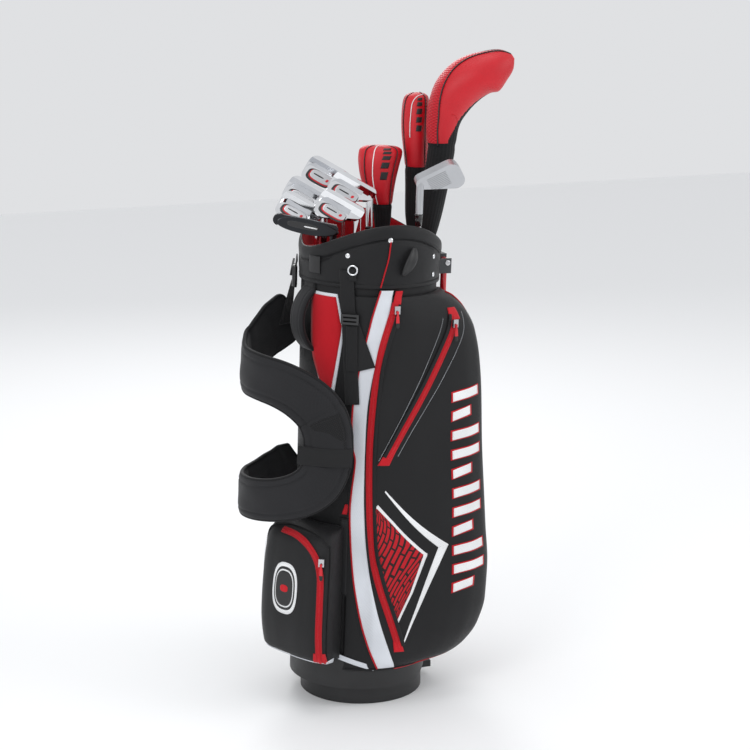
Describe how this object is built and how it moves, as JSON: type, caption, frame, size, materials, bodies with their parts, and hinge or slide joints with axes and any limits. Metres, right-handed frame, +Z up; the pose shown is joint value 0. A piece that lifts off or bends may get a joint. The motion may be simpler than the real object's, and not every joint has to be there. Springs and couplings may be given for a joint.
{
  "type": "golf club set",
  "caption": "Stand bag with fold-out legs, pockets and shoulder pads, holding a full set of golf clubs, the woods in padded headcovers.",
  "frame": {"origin": "where the bag's axis meets the ground under the foot plate", "axes": "+Z up, +X towards the stand legs, -X towards the spine handle and straps"},
  "size_m": [0.4967, 0.3152, 1.1669],
  "materials": {
    "base_plastic": "moulded, fine grain",
    "pin_steel": "turned steel",
    "bag_fabric": "coated black nylon with printed panels",
    "cuff_fabric": "padded black nylon",
    "lining_fabric": "brushed padded lining",
    "stay_plastic": "pultruded rod",
    "bracket_plastic": "moulded grey nylon",
    "rod_steel": "black coated wire",
    "leg_paint": "gloss red powder coat",
    "tip_rubber": "moulded rubber",
    "handle_fabric": "padded woven nylon",
    "pad_fabric": "charcoal padded nylon with bound edges",
    "webbing": "ribbed nylon webbing",
    "buckle_plastic": "moulded acetal",
    "rivet_steel": "polished dome",
    "zipper_tape": "red zipper with moulded coil",
    "slider_metal": "black coated zinc",
    "pull_rubber": "moulded red rubber with black tip",
    "wood_head_paint": "gloss black clear-coated head",
    "graphite_shaft": "clear-coated graphite",
    "grip_rubber": "textured rubber grip",
    "cover_fabric": "padded red shell with black knit sock",
    "iron_chrome": "polished chrome with black and red badge",
    "iron_satin": "satin face with fine grooves",
    "steel_shaft": "stepped chrome steel with black ferrule",
    "putter_paint": "dark satin grey"
  },
  "bodies": {
    "bag": {"base_boot": "base_plastic", "hinge_pins": "pin_steel", "bag_tube": "bag_fabric", "top_cuff": "cuff_fabric", "divider": "lining_fabric", "stays": "stay_plastic", "leg_bracket": "bracket_plastic", "side_pocket_near": "bag_fabric", "side_pocket_far": "bag_fabric", "ball_pocket": "bag_fabric", "valuables_pocket": "bag_fabric", "carry_handle": "handle_fabric", "strap_pad_upper": "pad_fabric", "strap_pad_lower": "pad_fabric", "strap_webbing": "webbing", "strap_buckles": "buckle_plastic", "rivets": "rivet_steel", "zippers": "zipper_tape"},
    "foot": {"base_foot": "base_plastic"},
    "rod": {"actuator_rod": "rod_steel"},
    "near_leg": {"leg_near": "leg_paint", "leg_near_tip": "tip_rubber"},
    "far_leg": {"leg_far": "leg_paint", "leg_far_tip": "tip_rubber"},
    "zip_slider_tube": {"slider_tube": "slider_metal"},
    "zip_pull_tube": {"pull_tube": "pull_rubber"},
    "zip_slider_side": {"slider_side": "slider_metal"},
    "zip_pull_side": {"pull_side": "pull_rubber"},
    "zip_slider_ball": {"slider_ball": "slider_metal"},
    "zip_pull_ball": {"pull_ball": "pull_rubber"},
    "driver": {"driver_head": "wood_head_paint", "driver_shaft": "graphite_shaft", "driver_grip": "grip_rubber"},
    "driver_headcover": {"driver_cover": "cover_fabric"},
    "fairway": {"fairway_head": "wood_head_paint", "fairway_shaft": "graphite_shaft", "fairway_grip": "grip_rubber"},
    "fairway_headcover": {"fairway_cover": "cover_fabric"},
    "hybrid": {"hybrid_head": "wood_head_paint", "hybrid_shaft": "graphite_shaft", "hybrid_grip": "grip_rubber"},
    "hybrid_headcover": {"hybrid_cover": "cover_fabric"},
    "iron_6": {"iron_6_head": "iron_satin", "iron_6_shaft": "steel_shaft"},
    "iron_7": {"iron_7_head": "iron_chrome", "iron_7_shaft": "steel_shaft"},
    "iron_8": {"iron_8_head": "iron_chrome", "iron_8_shaft": "steel_shaft"},
    "iron_9": {"iron_9_head": "iron_chrome", "iron_9_shaft": "steel_shaft"},
    "pitching_wedge": {"pitching_wedge_head": "iron_chrome", "pitching_wedge_shaft": "steel_shaft"},
    "sand_wedge": {"sand_wedge_head": "iron_chrome", "sand_wedge_shaft": "steel_shaft"},
    "putter": {"putter_head": "putter_paint", "putter_shaft": "steel_shaft", "putter_grip": "grip_rubber"}
  },
  "joints": [
    {"name": "foot_hinge", "type": "hinge", "parent": "bag", "child": "foot", "pos_m": [0.081, 0, 0.02719], "axis": [0, -1, 0], "range_deg": [0, 28], "stiffness_Nm_per_rad": 1, "springref_deg": -28.65},
    {"name": "rod_slide", "type": "slide", "parent": "bag", "child": "rod", "axis": [0.0349, 0, 0.9994], "range_m": [0, 0.0285]},
    {"name": "near_leg_hinge", "type": "hinge", "parent": "bag", "child": "near_leg", "pos_m": [0.16163, -0.026, 0.78884], "axis": [-0.3418, -0.9397, 0.0119], "range_deg": [0, 34]},
    {"name": "far_leg_hinge", "type": "hinge", "parent": "bag", "child": "far_leg", "pos_m": [0.16163, 0.026, 0.78884], "axis": [0.3418, -0.9397, -0.0119], "range_deg": [0, 34]},
    {"name": "tube_zip_slide", "type": "slide", "parent": "bag", "child": "zip_slider_tube", "axis": [-0.3571, -0.0232, -0.9338], "range_m": [0, 0.049]},
    {"name": "tube_pull_hinge", "type": "hinge", "parent": "zip_slider_tube", "child": "zip_pull_tube", "pos_m": [0.02347, -0.14347, 0.73063], "axis": [-0.9971, 0.0677, 0.0348], "range_deg": [0, 150]},
    {"name": "side_zip_slide", "type": "slide", "parent": "bag", "child": "zip_slider_side", "axis": [-0.2999, -0.3089, -0.9026], "range_m": [0, 0.024]},
    {"name": "side_pull_hinge", "type": "hinge", "parent": "zip_slider_side", "child": "zip_pull_side", "pos_m": [0.13555, -0.14226, 0.6987], "axis": [-0.9786, -0.2029, 0.0342], "range_deg": [0, 150]},
    {"name": "ball_zip_slide", "type": "slide", "parent": "bag", "child": "zip_slider_ball", "axis": [-0.0984, -0.07, -0.9927], "range_m": [0, 0.07]},
    {"name": "ball_pull_hinge", "type": "hinge", "parent": "zip_slider_ball", "child": "zip_pull_ball", "pos_m": [-0.12273, -0.14592, 0.29046], "axis": [-0.841, 0.5403, 0.0294], "range_deg": [0, 150]},
    {"name": "driver_lift", "type": "slide", "parent": "bag", "child": "driver", "axis": [0.1316, -0.0392, 0.9905], "range_m": [0, 0.82]},
    {"name": "fairway_lift", "type": "slide", "parent": "bag", "child": "fairway", "axis": [0.0349, 0, 0.9994], "range_m": [0, 0.82]},
    {"name": "hybrid_lift", "type": "slide", "parent": "bag", "child": "hybrid", "axis": [0.0349, 0, 0.9994], "range_m": [0, 0.82]},
    {"name": "iron_6_lift", "type": "slide", "parent": "bag", "child": "iron_6", "axis": [0.0349, 0, 0.9994], "range_m": [0, 0.82]},
    {"name": "iron_7_lift", "type": "slide", "parent": "bag", "child": "iron_7", "axis": [0.0349, 0, 0.9994], "range_m": [0, 0.82]},
    {"name": "iron_8_lift", "type": "slide", "parent": "bag", "child": "iron_8", "axis": [0.0349, 0, 0.9994], "range_m": [0, 0.82]},
    {"name": "iron_9_lift", "type": "slide", "parent": "bag", "child": "iron_9", "axis": [0.0349, 0, 0.9994], "range_m": [0, 0.82]},
    {"name": "pitching_wedge_lift", "type": "slide", "parent": "bag", "child": "pitching_wedge", "axis": [0.0349, 0, 0.9994], "range_m": [0, 0.82]},
    {"name": "sand_wedge_lift", "type": "slide", "parent": "bag", "child": "sand_wedge", "axis": [0.0349, 0, 0.9994], "range_m": [0, 0.82]},
    {"name": "putter_lift", "type": "slide", "parent": "bag", "child": "putter", "axis": [0.0349, 0, 0.9994], "range_m": [0, 0.82]},
    {"name": "driver_cover_off", "type": "slide", "parent": "driver", "child": "driver_headcover", "axis": [0.1316, -0.0392, 0.9905], "range_m": [0, 0.3], "deforming": ["driver_cover"]},
    {"name": "fairway_cover_off", "type": "slide", "parent": "fairway", "child": "fairway_headcover", "axis": [0.0349, 0, 0.9994], "range_m": [0, 0.3], "deforming": ["fairway_cover"]},
    {"name": "hybrid_cover_off", "type": "slide", "parent": "hybrid", "child": "hybrid_headcover", "axis": [0.0349, 0, 0.9994], "range_m": [0, 0.3], "deforming": ["hybrid_cover"]}
  ],
  "couplings": [
    {"joint": "rod_slide", "follows": "foot_hinge", "m_per_rad": 0.0575},
    {"joint": "near_leg_hinge", "follows": "foot_hinge", "ratio": 1.21},
    {"joint": "far_leg_hinge", "follows": "foot_hinge", "ratio": 1.21}
  ]
}
